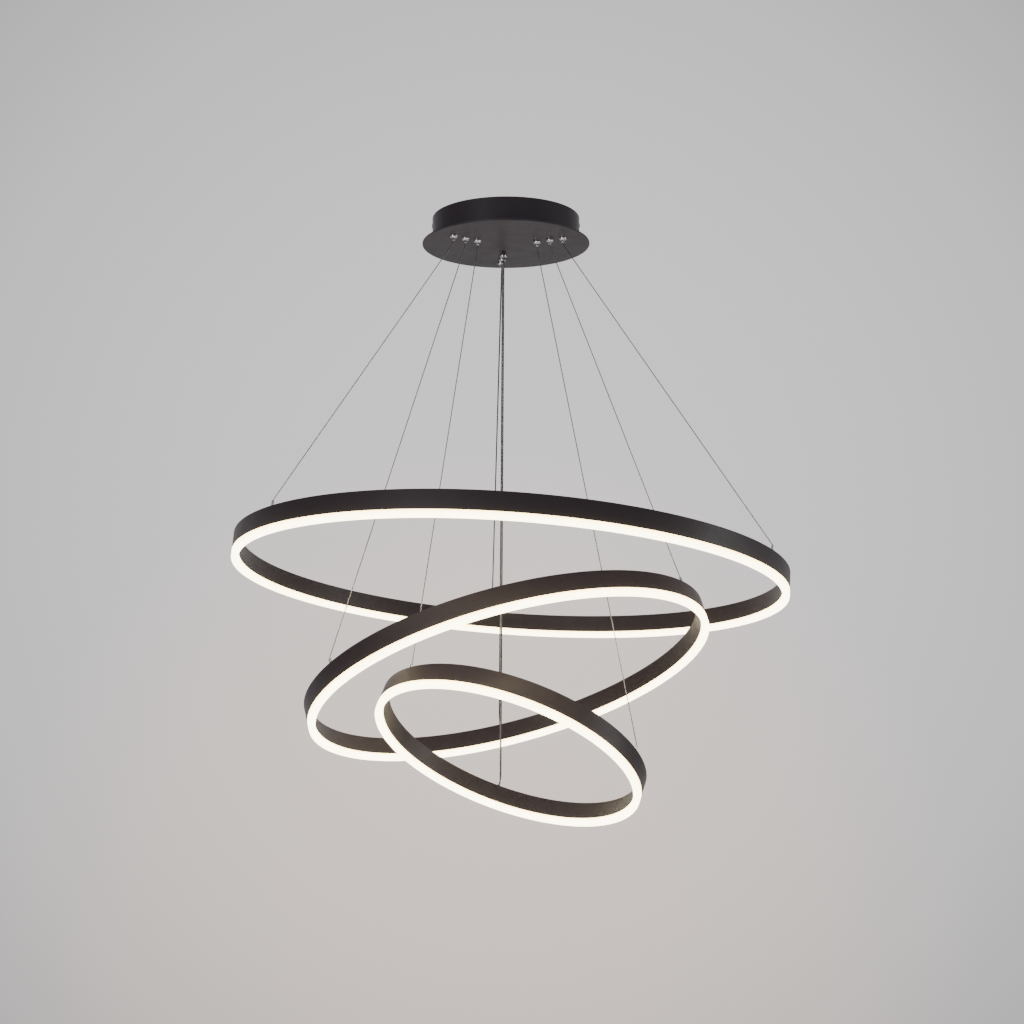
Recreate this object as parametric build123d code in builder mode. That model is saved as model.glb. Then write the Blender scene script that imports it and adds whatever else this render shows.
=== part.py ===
from build123d import *
import os
from dataclasses import dataclass
from math import atan, cos, degrees, pi, radians, sin, tan

os.makedirs("parts", exist_ok=True)

# LED ring chandelier: three tilted light rings of 80, 60 and 40 cm hang on steel
# cables from a round ceiling canopy. Millimetres and degrees, +Z up. The origin is
# the middle of the ceiling bracket, at the ceiling, and the front is -Y.

# Ceiling canopy
drum_diameter = 220.0
drum_height = 38.0
drum_wall = 1.0
lug_depth = 11.0  # lugs bent in from the drum's lower edge, welded to the plate
lug_width = 12.0
plate_lip = 15.0  # from the drum out to the plate's rim
plate_thickness = 2.0

# Ceiling bracket, a flat bar with both ends bent down inside the drum
bracket_width = 25.0
bracket_thickness = 1.5
bracket_end_gap = 0.1  # between the bent ends' corners and the drum
bracket_end_height = 20.0
bracket_slot_pitch = 84.0
bracket_slot_length = 34.0
bracket_slot_width = 4.5
bracket_cable_hole = 12.0

# Side screws, through the drum into the bracket's ends
side_screw_diameter = 4.0
side_screw_length = 9.0
side_screw_drop = 10.0  # below the ceiling
side_screw_clearance = 0.2
screw_head_diameter = 7.0
screw_head_height = 1.0
screw_head_sides = 12
earth_screw_length = 6.0
earth_screw_inset = 32.0  # from the bracket's end

# Cable grippers, three rows of three, one in each row for each ring
rows = ["back", "left", "right"]
back_row_azimuth = 94.7
gripper_inset = 16.0  # from the inside of the drum in to the outer grippers
gripper_pitch = 21.0  # from one gripper to the next along a row
gripper_collar_diameter = 11.0
gripper_collar_height = 4.0
gripper_stem_diameter = 6.4
gripper_stem_height = 14.0  # above the underside of the plate
plunger_diameter = 4.2
plunger_reach = 4.0  # below the collar
plunger_depth = 6.0  # inside the gripper
plunger_travel = 2.0
plunger_clearance = 0.08
small_sides = 6  # flats on the small turned pieces and in their holes
collar_sides = 12

# Steel cables and power cords
cable_diameter = 1.2
cable_bore_gap = 0.2
cable_tail = 4.0  # above the gripper
cable_bend_drop = 3.0  # from the plunger's mouth to the corner of the bend
cable_bend_radius = 6.0
cord_diameter = 1.6
cord_bush_diameter = 6.0
cord_bush_reach = 4.0  # below the plate
cord_bush_rise = 4.0  # above the plate
cord_bush_step = 10.5  # from the row's gripper in towards the middle
cord_run_in = 9.0  # from the bush's mouth, or the grommet, to the corner of the bend
cord_tail = 3.0  # inside the ring's channel
arc_share = 0.45  # of a cord's straight run that the arc at its end may take

# Light rings: outer radius, and how far the middle of the ring's top is below the ceiling
large_radius = 400.0
medium_radius = 300.0
small_radius = 200.0
large_drop = 518.6
medium_drop = 660.8
small_drop = 771.4

# Section of a light ring
ring_width = 10.0
channel_height = 26.0
channel_wall = 1.2
channel_web = 1.5
channel_sides = 72  # flats round the inside of the channel, hidden by the diffuser
diffuser_height = 9.0
tab_pitch = 300.0
tab_length = 16.0
tab_height = 6.0
tab_clearance = 0.6
first_tab = 0.5  # from the seam, in tab pitches
strip_sides = 24  # a whole fraction of the channel's sides
strip_height = 10.0
strip_thickness = 1.4
strip_drop = 6.0  # from the ring's top to the strip
strip_clearance = 0.05
seam_gap = 0.2
seam_turn = 14.0  # from the back stud round to the seam
splice_length = 40.0
splice_width = 4.5
splice_thickness = 3.0
splice_clearance = 0.1

# Fittings on a ring
stud_flats = 4.0
stud_height = 5.0
stud_taper = 3.0
stud_tip_flats = 2.6
stud_offset = 1.8  # outwards from the middle of the ring's section
stud_spread = 115.0  # between the left and right studs
grommet_diameter = 3.0
grommet_height = 2.0
grommet_offset = -2.4

# Inside the canopy
driver_length = 105.0
driver_width = 30.0
driver_height = 22.0
driver_inset = 22.0  # from the inside of the drum in to a driver
driver_ear = 6.0
driver_ear_thickness = 2.0
pad_thickness = 1.0
pad_length = 60.0
pad_width = 20.0
block_pole = 10.0
block_poles = 3
block_depth = 18.0
block_height = 14.0
block_wire_entry = 3.6


@dataclass(frozen=True)
class LightRing:
    """One light ring, the grippers that it hangs on and how it is turned and tilted."""

    name: str
    radius: float
    centre: tuple
    tilt_x: float
    tilt_y: float
    back_stud: float
    gripper_radius: float

    @property
    def plane(self):
        """Top plane of the ring, with its normal up."""
        lean, roll = radians(self.tilt_x), radians(self.tilt_y)
        across = Vector(cos(roll), 0, -sin(roll))
        normal = Vector(sin(roll) * cos(lean), -sin(lean), cos(roll) * cos(lean))
        return Plane(origin=self.centre, x_dir=across, z_dir=normal)

    @property
    def axis(self):
        return Axis(self.plane.origin, self.plane.z_dir)

    @property
    def middle(self):
        """Radius of the middle of the ring's section."""
        return self.radius - ring_width / 2

    @property
    def stud_azimuths(self):
        side = (360 - stud_spread) / 2
        return {
            "back": self.back_stud,
            "left": self.back_stud + side,
            "right": self.back_stud + side + stud_spread,
        }

    def seat(self, azimuth, offset, height=0.0):
        """Plane on the ring's top at an azimuth, its X axis pointing outwards."""
        plane = self.plane
        outward = plane.x_dir * cos(radians(azimuth)) + plane.y_dir * sin(radians(azimuth))
        spot = plane.origin + outward * (self.middle + offset) + plane.z_dir * height
        return Plane(origin=spot, x_dir=outward, z_dir=plane.z_dir)

    def level(self, height):
        """Plane parallel to the ring's top at a height above it."""
        return self.plane.offset(height)

    def section(self, azimuth):
        """Radial plane of the ring: X is outwards from its axis, Y is up."""
        outward = self.seat(azimuth, 0).x_dir
        return Plane(origin=self.plane.origin, x_dir=outward, z_dir=outward.cross(self.plane.z_dir))


row_step = 360 / len(rows)
row_azimuths = {row: back_row_azimuth + row_step * place for place, row in enumerate(rows)}
drum_inside = drum_diameter / 2 - drum_wall
outer_gripper = drum_inside - gripper_inset
middle_gripper = outer_gripper - gripper_pitch
inner_gripper = middle_gripper - gripper_pitch

rings = [
    LightRing("large", large_radius, (6.0, -15.6, -large_drop), -6.55, 4.34, 94.4, outer_gripper),
    LightRing("medium", medium_radius, (-3.0, 29.6, -medium_drop), -16.46, -14.93, 96.2, middle_gripper),
    LightRing("small", small_radius, (7.7, 2.7, -small_drop), -23.13, 20.56, 88.8, inner_gripper),
]

plate_top = -drum_height
plate_bottom = plate_top - plate_thickness
collar_bottom = plate_bottom - gripper_collar_height
plunger_mouth = collar_bottom - plunger_reach
plunger_top = collar_bottom + plunger_depth
stem_top = plate_bottom + gripper_stem_height
bore_diameter = cable_diameter + 2 * cable_bore_gap
cord_bore_diameter = cord_diameter + 2 * cable_bore_gap
bush_mouth = plate_bottom - cord_bush_reach
channel_slot = ring_width - 2 * channel_wall
tip_step = (stud_flats - stud_tip_flats) / 2


def save(piece, node):
    """Label a finished piece and write it under its node's name."""
    piece.part.label = node
    export_step(piece.part, f"parts/{node}.step")


def spot(radius, azimuth, height):
    """Point at a radius and azimuth round the canopy's middle."""
    return Vector(radius * cos(radians(azimuth)), radius * sin(radians(azimuth)), height)


def gripper_spot(ring, row, height):
    return spot(ring.gripper_radius, row_azimuths[row], height)


def bush_spot(ring, height):
    return spot(ring.gripper_radius - cord_bush_step, row_azimuths["back"], height)


def gripper_spots(height):
    return [gripper_spot(ring, row, height) for ring in rings for row in row_azimuths]


def bush_spots(height):
    return [bush_spot(ring, height) for ring in rings]


def turned(diameter):
    """Outline of a small turned piece, or of the hole that takes it."""
    return RegularPolygon(diameter / 2, small_sides)


def stud_outline():
    """Hexagon of a clinched stud, one flat outwards."""
    return RegularPolygon(stud_flats / 2, small_sides, major_radius=False, rotation=180 / small_sides)


def between_rows(row):
    """Azimuth halfway from one row of grippers to the next."""
    return row_azimuths[row] + row_step / 2


# Ceiling canopy -------------------------------------------------------------

bracket_reach = (drum_inside**2 - (bracket_width / 2) ** 2) ** 0.5 - bracket_end_gap
side_screw_height = -side_screw_drop
earth_screw_place = bracket_reach - earth_screw_inset

with BuildPart() as canopy_drum:
    with BuildSketch():
        Circle(drum_diameter / 2)
        Circle(drum_inside, mode=Mode.SUBTRACT)
    extrude(amount=-drum_height)
    with BuildSketch(Plane.XY.offset(plate_top)) as lugs:
        for azimuth in row_azimuths.values():
            with Locations(spot(drum_inside - lug_depth / 2, azimuth, 0)):
                Rectangle(lug_depth + drum_wall, lug_width, rotation=azimuth)
        Circle(drum_inside + drum_wall / 2, mode=Mode.INTERSECT)
    extrude(amount=drum_wall)
    with BuildSketch(Plane.YZ):
        with Locations((0, side_screw_height)):
            turned(side_screw_diameter + 2 * side_screw_clearance)
    extrude(amount=drum_diameter, both=True, mode=Mode.SUBTRACT)

with BuildPart() as canopy_plate:
    with BuildSketch(Plane.XY.offset(plate_top)):
        Circle(drum_diameter / 2 + plate_lip)
        with Locations(*gripper_spots(0)):
            RegularPolygon(gripper_stem_diameter / 2, small_sides, mode=Mode.SUBTRACT)
        with Locations(*bush_spots(0)):
            RegularPolygon(cord_bush_diameter / 2, small_sides, mode=Mode.SUBTRACT)
    extrude(amount=-plate_thickness)

with BuildPart() as ceiling_bracket:
    with BuildSketch(Plane.XZ.offset(-bracket_width / 2)):
        with BuildLine():
            Polyline(
                (-bracket_reach, 0),
                (bracket_reach, 0),
                (bracket_reach, -bracket_end_height),
                (bracket_reach - bracket_thickness, -bracket_end_height),
                (bracket_reach - bracket_thickness, -bracket_thickness),
                (bracket_thickness - bracket_reach, -bracket_thickness),
                (bracket_thickness - bracket_reach, -bracket_end_height),
                (-bracket_reach, -bracket_end_height),
                close=True,
            )
        make_face()
    extrude(amount=bracket_width)
    with BuildSketch():
        with GridLocations(bracket_slot_pitch, 0, 2, 1):
            SlotOverall(bracket_slot_length, bracket_slot_width)
        turned(bracket_cable_hole)
    extrude(amount=-bracket_thickness, mode=Mode.SUBTRACT)
    with BuildSketch(Plane.YZ):
        with Locations((0, side_screw_height)):
            turned(side_screw_diameter)
    extrude(amount=drum_diameter, both=True, mode=Mode.SUBTRACT)
    with BuildSketch():
        with Locations((earth_screw_place, 0)):
            turned(side_screw_diameter)
    extrude(amount=-bracket_thickness, mode=Mode.SUBTRACT)

with BuildPart() as side_screws:
    for side in (-1, 1):
        seat = Plane(
            origin=(side * drum_diameter / 2, 0, side_screw_height),
            x_dir=(0, 1, 0),
            z_dir=(side, 0, 0),
        )
        with BuildSketch(seat):
            turned(side_screw_diameter)
        extrude(amount=-side_screw_length)
        with BuildSketch(seat):
            RegularPolygon(screw_head_diameter / 2, screw_head_sides)
        extrude(amount=screw_head_height)

with BuildPart() as earth_screw:
    with BuildSketch(Plane.XY.offset(-bracket_thickness)):
        with Locations((earth_screw_place, 0)):
            RegularPolygon(screw_head_diameter / 2, screw_head_sides)
    extrude(amount=-screw_head_height)
    with BuildSketch():
        with Locations((earth_screw_place, 0)):
            turned(side_screw_diameter)
    extrude(amount=-earth_screw_length)

save(canopy_drum, "canopy_drum")
save(canopy_plate, "canopy_plate")
save(ceiling_bracket, "ceiling_bracket")
save(side_screws, "side_screws")
save(earth_screw, "earth_screw")


# Drivers and wiring inside the canopy ---------------------------------------

pad_top = plate_top + pad_thickness
driver_radius = drum_inside - driver_inset - driver_width / 2
driver_places = {"large": "back", "medium": "left", "small": "right"}


def driver_plane(ring, height):
    """Plane at a driver's middle, with its X axis along the driver."""
    azimuth = between_rows(driver_places[ring.name])
    along = Vector(-sin(radians(azimuth)), cos(radians(azimuth)), 0)
    return Plane(origin=spot(driver_radius, azimuth, height), x_dir=along, z_dir=(0, 0, 1))


with BuildPart() as driver_pads:
    for ring in rings:
        with BuildSketch(driver_plane(ring, plate_top)):
            Rectangle(pad_length, pad_width)
        extrude(amount=pad_thickness)
save(driver_pads, "driver_pads")

for ring in rings:
    with BuildPart() as driver:
        with BuildSketch(driver_plane(ring, pad_top)):
            Rectangle(driver_length - 2 * driver_ear, driver_width)
        extrude(amount=driver_height)
        with BuildSketch(driver_plane(ring, pad_top)):
            Rectangle(driver_length, driver_width)
        extrude(amount=driver_ear_thickness)
    save(driver, f"driver_{ring.name}")

with BuildPart() as terminal_block:
    with BuildSketch(Plane.XY.offset(plate_top)):
        Rectangle(block_pole * block_poles, block_depth)
    extrude(amount=block_height)
    with BuildSketch(Plane.XZ.offset(-block_depth / 2)):
        with Locations((0, plate_top + block_height / 2)):
            with GridLocations(block_pole, 0, block_poles, 1):
                Rectangle(block_wire_entry, block_wire_entry)
    extrude(amount=block_depth, mode=Mode.SUBTRACT)
save(terminal_block, "terminal_block")


# Cable grippers -------------------------------------------------------------

with BuildPart() as gripper_bodies:
    with BuildSketch(Plane.XY.offset(plate_bottom)):
        with Locations(*gripper_spots(0)):
            RegularPolygon(gripper_collar_diameter / 2, collar_sides)
    extrude(amount=-gripper_collar_height)
    with BuildSketch(Plane.XY.offset(plate_bottom)):
        with Locations(*gripper_spots(0)):
            turned(gripper_stem_diameter)
    extrude(amount=gripper_stem_height)
    with BuildSketch(Plane.XY.offset(stem_top)):
        with Locations(*gripper_spots(0)):
            turned(bore_diameter)
    extrude(amount=collar_bottom - stem_top, mode=Mode.SUBTRACT)
    with BuildSketch(Plane.XY.offset(collar_bottom)):
        with Locations(*gripper_spots(0)):
            turned(plunger_diameter + 2 * plunger_clearance)
    extrude(amount=plunger_depth + plunger_travel + plunger_clearance, mode=Mode.SUBTRACT)
save(gripper_bodies, "gripper_bodies")

for ring in rings:
    for row in row_azimuths:
        with BuildPart() as plunger:
            with BuildSketch(Plane(origin=gripper_spot(ring, row, plunger_mouth))):
                turned(plunger_diameter)
                RegularPolygon(bore_diameter / 2, small_sides, mode=Mode.SUBTRACT)
            extrude(amount=plunger_top - plunger_mouth)
        save(plunger, f"{ring.name}_plunger_{row}")

with BuildPart() as cord_bushes:
    with BuildSketch(Plane.XY.offset(bush_mouth)):
        with Locations(*bush_spots(0)):
            turned(cord_bush_diameter)
            RegularPolygon(cord_bore_diameter / 2, small_sides, mode=Mode.SUBTRACT)
    extrude(amount=plate_top + cord_bush_rise - bush_mouth)
save(cord_bushes, "cord_bushes")


# Light rings ----------------------------------------------------------------

for ring in rings:
    slot_outer = ring.radius - channel_wall
    slot_inner = slot_outer - channel_slot
    seam = ring.back_stud + seam_turn
    studs = [ring.seat(azimuth, stud_offset) for azimuth in ring.stud_azimuths.values()]
    cord_seat = ring.seat(ring.back_stud, grommet_offset)

    with BuildPart() as profile:
        with BuildSketch(ring.section(seam)):
            with Locations((ring.middle, -channel_height / 2)):
                Rectangle(ring_width, channel_height)
        revolve(axis=ring.axis, revolution_arc=360 - degrees(seam_gap / ring.radius))
        with BuildSketch(ring.level(-channel_height)):
            RegularPolygon(slot_outer, channel_sides)
            RegularPolygon(slot_inner, channel_sides, major_radius=False, mode=Mode.SUBTRACT)
        extrude(amount=channel_height - channel_web, mode=Mode.SUBTRACT)
        for stud in studs:
            with BuildSketch(stud):
                stud_outline()
            extrude(amount=-channel_web, mode=Mode.SUBTRACT)
        with BuildSketch(cord_seat):
            turned(grommet_diameter)
        extrude(amount=-channel_web, mode=Mode.SUBTRACT)
    save(profile, f"{ring.name}_profile")

    with BuildPart() as diffuser:
        with BuildSketch(ring.level(-channel_height)):
            Circle(ring.radius)
            Circle(ring.radius - ring_width, mode=Mode.SUBTRACT)
        extrude(amount=-diffuser_height)
        tabs = round(2 * pi * ring.middle / tab_pitch)
        for tab in range(tabs):
            azimuth = seam + 360 * (tab + first_tab) / tabs
            with BuildSketch(ring.seat(azimuth, 0, -channel_height)):
                Rectangle(channel_slot - 2 * tab_clearance, tab_length)
            extrude(amount=tab_height)
    save(diffuser, f"{ring.name}_diffuser")

    with BuildPart() as led_strip:
        with BuildSketch(ring.level(-strip_drop)):
            RegularPolygon(slot_outer - strip_clearance, strip_sides)
            RegularPolygon(slot_outer - strip_clearance - strip_thickness, strip_sides, mode=Mode.SUBTRACT)
        extrude(amount=-strip_height)
    save(led_strip, f"{ring.name}_led_strip")

    with BuildPart() as splice:
        with BuildSketch(ring.seat(seam, 0, -channel_web - splice_clearance)):
            Rectangle(splice_width, splice_length)
        extrude(amount=-splice_thickness)
    save(splice, f"{ring.name}_splice")

    with BuildPart() as stud_set:
        for stud in studs:
            with BuildSketch(stud.offset(-channel_web)):
                stud_outline()
            extrude(amount=channel_web + stud_height)
            with BuildSketch(stud.offset(stud_height)):
                stud_outline()
            extrude(amount=stud_taper, taper=degrees(atan(tip_step / stud_taper)))
    save(stud_set, f"{ring.name}_studs")

    with BuildPart() as grommet:
        with BuildSketch(cord_seat.offset(grommet_height)):
            turned(grommet_diameter)
            RegularPolygon(cord_bore_diameter / 2, small_sides, mode=Mode.SUBTRACT)
        extrude(amount=-grommet_height - channel_web)
    save(grommet, f"{ring.name}_grommet")


# Cables and cords -----------------------------------------------------------


def turns_of(points):
    """Angle that the route turns through at each of its corners, in degrees."""
    runs = [b - a for a, b in zip(points, points[1:])]
    return [before.get_angle(after) for before, after in zip(runs, runs[1:])]


def widest_radii(points):
    """Largest arc that each corner's two runs leave room for."""
    lengths = [(b - a).length for a, b in zip(points, points[1:])]
    return [
        arc_share * min(before, after) / tan(radians(turn) / 2)
        for before, after, turn in zip(lengths, lengths[1:], turns_of(points))
    ]


def report(node, tube, path, diameter, radii):
    """Print a tube's arc radii, and its volume against its section times its length."""
    section = small_sides / 2 * (diameter / 2) ** 2 * sin(2 * pi / small_sides)
    length = sum(edge.length for edge in path.edges())
    sizes = ", ".join(f"{radius:.1f}" for radius in radii)
    print(f"{node}: {length:.1f} long, radii {sizes}, volume ratio {tube.part.volume / section / length:.4f}")


for ring in rings:
    for row, azimuth in ring.stud_azimuths.items():
        tip = ring.seat(azimuth, stud_offset, stud_height + stud_taper).origin
        corner = gripper_spot(ring, row, plunger_mouth - cable_bend_drop)
        end = tip + (corner - tip).normalized() * cable_diameter / 2
        route = [gripper_spot(ring, row, stem_top + cable_tail), corner, end]
        with BuildPart() as cable:
            with BuildLine() as path:
                FilletPolyline(*route, radius=cable_bend_radius)
            with BuildSketch(Plane(origin=route[0], x_dir=(1, 0, 0), z_dir=(0, 0, -1))):
                turned(cable_diameter)
            sweep()
        node = f"{ring.name}_cable_{row}"
        save(cable, node)
        report(node, cable, path, cable_diameter, [cable_bend_radius])

    entry = ring.seat(ring.back_stud, grommet_offset)
    route = [
        bush_spot(ring, plate_top + cord_bush_rise),
        bush_spot(ring, bush_mouth - cord_run_in),
        entry.offset(grommet_height + cord_run_in).origin,
        entry.offset(-channel_web - cord_tail).origin,
    ]
    radii = widest_radii(route)
    with BuildPart() as cord:
        with BuildLine() as path:
            FilletPolyline(*route, radius=radii)
        with BuildSketch(Plane(origin=route[0], x_dir=(1, 0, 0), z_dir=(0, 0, -1))):
            turned(cord_diameter)
        sweep()
    save(cord, f"{ring.name}_cord")
    report(f"{ring.name}_cord", cord, path, cord_diameter, radii)
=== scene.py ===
from dataclasses import dataclass
from math import ceil, cos, pi, radians, sin, tan, tau

import bmesh
import bpy
from mathutils import Matrix, Vector


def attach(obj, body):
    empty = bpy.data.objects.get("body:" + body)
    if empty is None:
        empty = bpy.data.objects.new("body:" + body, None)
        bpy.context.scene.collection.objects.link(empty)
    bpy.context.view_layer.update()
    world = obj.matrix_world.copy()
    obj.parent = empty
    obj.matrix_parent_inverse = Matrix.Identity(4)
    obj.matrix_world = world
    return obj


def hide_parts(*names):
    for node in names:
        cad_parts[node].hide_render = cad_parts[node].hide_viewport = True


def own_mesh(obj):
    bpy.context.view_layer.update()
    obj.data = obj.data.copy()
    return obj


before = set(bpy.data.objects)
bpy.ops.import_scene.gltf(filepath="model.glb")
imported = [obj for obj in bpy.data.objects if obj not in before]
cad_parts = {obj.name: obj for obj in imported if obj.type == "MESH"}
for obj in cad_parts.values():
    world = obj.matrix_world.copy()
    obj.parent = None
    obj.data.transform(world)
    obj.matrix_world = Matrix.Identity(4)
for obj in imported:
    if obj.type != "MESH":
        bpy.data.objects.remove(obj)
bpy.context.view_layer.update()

# LED ring chandelier. Shapes are written in millimetres and placed in metres, in the
# frame's own axes: +Z up, front at -Y, origin on the ceiling over the canopy's middle.

METRES = Matrix.Scale(0.001, 4)
UP = Vector((0, 0, 1))

# Canopy
drum_radius = 110.0
drum_height = 38.0
drum_wall = 1.0
lug_depth = 11.0
lug_width = 12.0
plate_radius = 125.0
plate_thickness = 2.0
plate_top = -drum_height
plate_bottom = plate_top - plate_thickness

# Cable grippers and cord bushes
row_azimuths = {"back": 94.7, "left": 214.7, "right": 334.7}
stem_radius = 3.2
stem_end_radius = 2.7
stem_top = plate_bottom + 14.0
stem_pitch = 0.8
stem_turns = 13
stem_thread = 0.35  # depth of the thread
cable_bore = 0.8
collar_radius = 5.5
collar_rounding = 2.2
collar_bottom = plate_bottom - 4.0
sleeve_bore = 2.2  # the hole that a release sleeve slides in
sleeve_bore_top = collar_bottom + 8.08
plunger_radius = 2.1
plunger_mouth = collar_bottom - 4.0
plunger_top = collar_bottom + 6.0
nut_height = 3.0
nut_across = 9.0  # between its flats
cord_bush_step = 10.5
bush_radius = 3.0
bush_bore = 1.0
bush_top = plate_top + 4.0
bush_mouth = plate_bottom - 4.0

# Cables and cords
cable_diameter = 1.2
cord_diameter = 1.6
cable_tail = 4.0
cable_corner = plunger_mouth - 3.0
cable_lead = 7.0  # from a bend's corner to the next point on the cable's run
cable_end_lead = 0.5
cord_run_in = 9.0
cord_lead = 10.0
cord_end_depth = 3.0
strands = 6
strand_step = 0.75
strand_pitch = 9.0
crest, groove = 1.2, 1.04  # shares of the cable's nominal radius, over a strand and between two
cord_sides = 16
cord_step = 4.0

# Section of a light ring and its fittings
ring_width = 10.0
channel_height = 26.0
channel_wall = 1.2
channel_web = 1.5
diffuser_height = 9.0
seam_gap = 0.2
seam_turn = 14.0
stud_height = 8.0
stud_root = 2.0
stud_flange = 2.3
stud_waist = 1.95
stud_neck = 1.35
stud_tip = 1.25
stud_mouth = 1.05  # wide enough for the cable to lean in it at full lift
stud_mouth_depth = 1.0
stud_offset = 1.8
stud_spread = 115.0
grommet_radius = 1.5
grommet_tip = 1.45
grommet_bore = 1.25
grommet_offset = -2.4
grommet_height = 2.0
ring_segments = 288
tab_pitch = 300.0
tab_length = 16.0
tab_height = 6.0
tab_clearance = 0.6
strip_top = -6.0
strip_bottom = -16.0
strip_film = 0.35
strip_play = 0.1
chip_pitch = 16.7
chip_depth, chip_width, chip_height = 0.8, 3.5, 2.8
chip_foot = -12.4
splice_length = 40.0
splice_width = 4.5
splice_thickness = 3.0
splice_play = 0.1
splice_hole = 1.0
splice_hole_places = (6.0, 15.0)

# Where a noise value counts as low and as high
noise_low, noise_high = 0.3, 0.7


def frame_at(origin, x_axis, z_axis):
    """Matrix of a frame with its origin and its X and Z axes given."""
    y_axis = z_axis.cross(x_axis)
    matrix = Matrix((x_axis, y_axis, z_axis)).transposed().to_4x4()
    matrix.translation = origin
    return matrix


@dataclass(frozen=True)
class LightRing:
    """One light ring, the grippers that it hangs on and how it is turned and tilted."""

    name: str
    radius: float
    centre: tuple
    tilt_x: float
    tilt_y: float
    back_stud: float
    gripper_radius: float

    @property
    def matrix(self):
        lean, roll = radians(self.tilt_x), radians(self.tilt_y)
        across = Vector((cos(roll), 0, -sin(roll)))
        normal = Vector((sin(roll) * cos(lean), -sin(lean), cos(roll) * cos(lean)))
        return frame_at(Vector(self.centre), across, normal)

    @property
    def stud_azimuths(self):
        side = (360 - stud_spread) / 2
        return {
            "back": self.back_stud,
            "left": self.back_stud + side,
            "right": self.back_stud + side + stud_spread,
        }

    def seat(self, azimuth, offset, height=0.0):
        """Frame on the ring's top at an azimuth, its X axis pointing outwards."""
        outward = Vector((cos(radians(azimuth)), sin(radians(azimuth)), 0))
        place = outward * (self.radius - ring_width / 2 + offset) + UP * height
        return self.matrix @ frame_at(place, outward, UP)


rings = [
    LightRing("large", 400.0, (6.0, -15.6, -518.6), -6.55, 4.34, 94.4, 93.0),
    LightRing("medium", 300.0, (-3.0, 29.6, -660.8), -16.46, -14.93, 96.2, 72.0),
    LightRing("small", 200.0, (7.7, 2.7, -771.4), -23.13, 20.56, 88.8, 51.0),
]


def spot(radius, azimuth, height):
    """Point at a radius and azimuth round the canopy's middle."""
    return Vector((radius * cos(radians(azimuth)), radius * sin(radians(azimuth)), height))


def gripper_spot(ring, row, height):
    return spot(ring.gripper_radius, row_azimuths[row], height)


def bush_spot(ring, height):
    return spot(ring.gripper_radius - cord_bush_step, row_azimuths["back"], height)


# Camera ---------------------------------------------------------------------

camera_place = Vector((7.3, -2491.06, -777.91))
camera_pitch = radians(7.66)
camera_roll = -0.0042

camera_data = bpy.data.cameras.new("camera")
camera_data.lens = 60.295
camera = bpy.data.objects.new("camera", camera_data)
ahead = Vector((0, cos(camera_pitch), sin(camera_pitch)))
level_up = Vector((0, -sin(camera_pitch), cos(camera_pitch)))
side = Vector((cos(camera_roll), 0, 0)) + level_up * sin(camera_roll)
camera.matrix_world = frame_at(camera_place * 0.001, side, -ahead)
bpy.context.scene.collection.objects.link(camera)
bpy.context.scene.camera = camera


# Materials ------------------------------------------------------------------


def set_stops(ramp, stops):
    """Give a colour ramp its stops, each a position and a colour."""
    elements = ramp.color_ramp.elements
    while len(elements) < len(stops):
        elements.new(0.5)
    for element, (position, color) in zip(elements, stops):
        element.position = position
        element.color = (*color, 1)


def shade(color, factor):
    return tuple(part * factor for part in color)


class Finish:
    """A material on one Principled shader, with the nodes that vary it."""

    def __init__(self, name, color, roughness, **constants):
        self.material = bpy.data.materials.new(name)
        self.material.use_nodes = True
        self.tree = self.material.node_tree
        self.shader = self.tree.nodes["Principled BSDF"]
        self.set("Base Color", (*color, 1))
        self.set("Roughness", roughness)
        for socket, value in constants.items():
            self.set(socket.replace("_", " "), value)

    def set(self, socket, value):
        self.shader.inputs[socket].default_value = value

    def node(self, kind, values=None, **settings):
        node = self.tree.nodes.new("ShaderNode" + kind)
        for name, value in settings.items():
            setattr(node, name, value)
        for socket, value in (values or {}).items():
            if isinstance(value, bpy.types.NodeSocket):
                self.tree.links.new(value, node.inputs[socket])
            else:
                node.inputs[socket].default_value = value
        return node

    def place(self):
        return self.node("TexCoord").outputs["Object"]

    def grain(self, scale, detail=3.0):
        """A noise value, with its scale in features to the metre."""
        values = {"Vector": self.place(), "Scale": scale, "Detail": detail, "Roughness": 0.55}
        return self.node("TexNoise", values).outputs["Fac"]

    def between(self, value, low, high, start=noise_low, end=noise_high):
        """A number that goes from low to high as the value goes from start to end."""
        values = {"Value": value, "From Min": start, "From Max": end, "To Min": low, "To Max": high}
        return self.node("MapRange", values).outputs["Result"]

    def blend(self, value, *stops):
        """Colours by position along a value."""
        ramp = self.node("ValToRGB", {"Fac": value})
        set_stops(ramp, stops)
        return ramp.outputs["Color"]

    def mottle(self, value, color, low, high):
        """Shade the base colour by two factors, where a noise value is low and where it is high."""
        stops = (noise_low, shade(color, low)), (noise_high, shade(color, high))
        self.drive("Base Color", self.blend(value, *stops))

    def drive(self, socket, output):
        self.tree.links.new(output, self.shader.inputs[socket])

    def bump(self, height, distance, strength):
        """Raise the surface by a value, over a distance in metres."""
        values = {"Height": height, "Distance": distance, "Strength": strength}
        self.drive("Normal", self.node("Bump", values).outputs["Normal"])


def powder_coat(name, color, roughness):
    """Fine satin powder coat, with its orange peel and a faint unevenness of gloss."""
    coat = Finish(name, color, roughness)
    coat.mottle(coat.grain(4.0, 2.0), color, 0.95, 1.05)
    coat.drive("Roughness", coat.between(coat.grain(40.0), roughness - 0.03, roughness + 0.03))
    coat.bump(coat.grain(1400.0, 2.0), 0.00001, 0.2)
    return coat.material


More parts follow.
